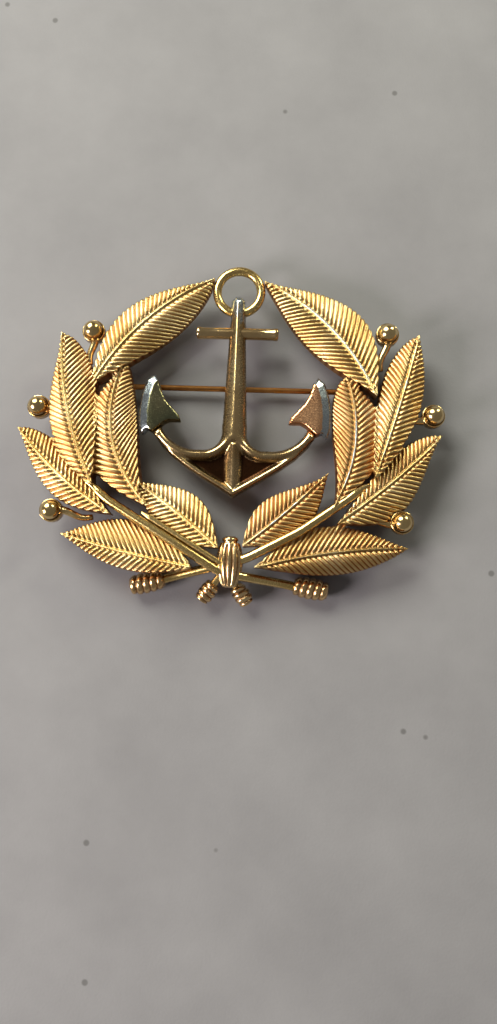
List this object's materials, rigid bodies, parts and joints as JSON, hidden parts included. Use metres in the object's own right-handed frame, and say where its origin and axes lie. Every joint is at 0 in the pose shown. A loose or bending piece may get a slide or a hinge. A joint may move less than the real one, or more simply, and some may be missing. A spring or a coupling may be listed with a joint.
{
  "type": "cap badge",
  "caption": "Gilt cap badge: an anchor with its ring in a laurel wreath tied at the foot, fastened behind by a hinged brooch pin and a turning safety catch.",
  "frame": {"origin": "under the middle of the badge's bounding box, at the level of its lowest points: the hinge, the catch and the bound stem ends it lies on", "axes": "+Z out of the face of the badge, +Y up the anchor to its ring, +X to the viewer's right"},
  "size_m": [0.0622, 0.0507, 0.0068],
  "materials": {
    "gilt_brass": "gilt, worn on the high parts",
    "nickel_brass": "nickel plated, satin",
    "pin_wire": "drawn wire, smooth"
  },
  "bodies": {
    "badge": {"leaf_left_1": "gilt_brass", "leaf_left_2": "gilt_brass", "leaf_left_3": "gilt_brass", "leaf_left_4": "gilt_brass", "leaf_left_5": "gilt_brass", "leaf_left_6": "gilt_brass", "leaf_right_1": "gilt_brass", "leaf_right_2": "gilt_brass", "leaf_right_3": "gilt_brass", "leaf_right_4": "gilt_brass", "leaf_right_5": "gilt_brass", "leaf_right_6": "gilt_brass", "berry_left_1": "gilt_brass", "berry_left_2": "gilt_brass", "berry_left_3": "gilt_brass", "berry_right_1": "gilt_brass", "berry_right_2": "gilt_brass", "berry_right_3": "gilt_brass", "stem_left": "gilt_brass", "stem_right": "gilt_brass", "twig_left": "gilt_brass", "short_stem_left": "gilt_brass", "short_stem_right": "gilt_brass", "stem_end_left": "gilt_brass", "stem_end_right": "gilt_brass", "short_end_left": "gilt_brass", "short_end_right": "gilt_brass", "tie": "gilt_brass", "anchor_shank": "gilt_brass", "anchor_stock": "gilt_brass", "anchor_ring": "gilt_brass", "fluke_left": "gilt_brass", "fluke_right": "gilt_brass", "hinge_bracket": "nickel_brass", "hinge_rivet": "nickel_brass", "catch_housing": "nickel_brass"},
    "pin": {"pin_stem": "pin_wire"},
    "catch": {"catch_roller": "nickel_brass"}
  },
  "joints": [
    {"name": "pin_hinge", "type": "hinge", "parent": "badge", "child": "pin", "pos_m": [-0.018, 0.0072, 0.0015], "axis": [0, 1, 0], "range_deg": [0, 100]},
    {"name": "catch_turn", "type": "hinge", "parent": "badge", "child": "catch", "pos_m": [0.0185, 0.0072, 0.0015], "axis": [-1, 0, 0], "range_deg": [0, 90]}
  ]
}
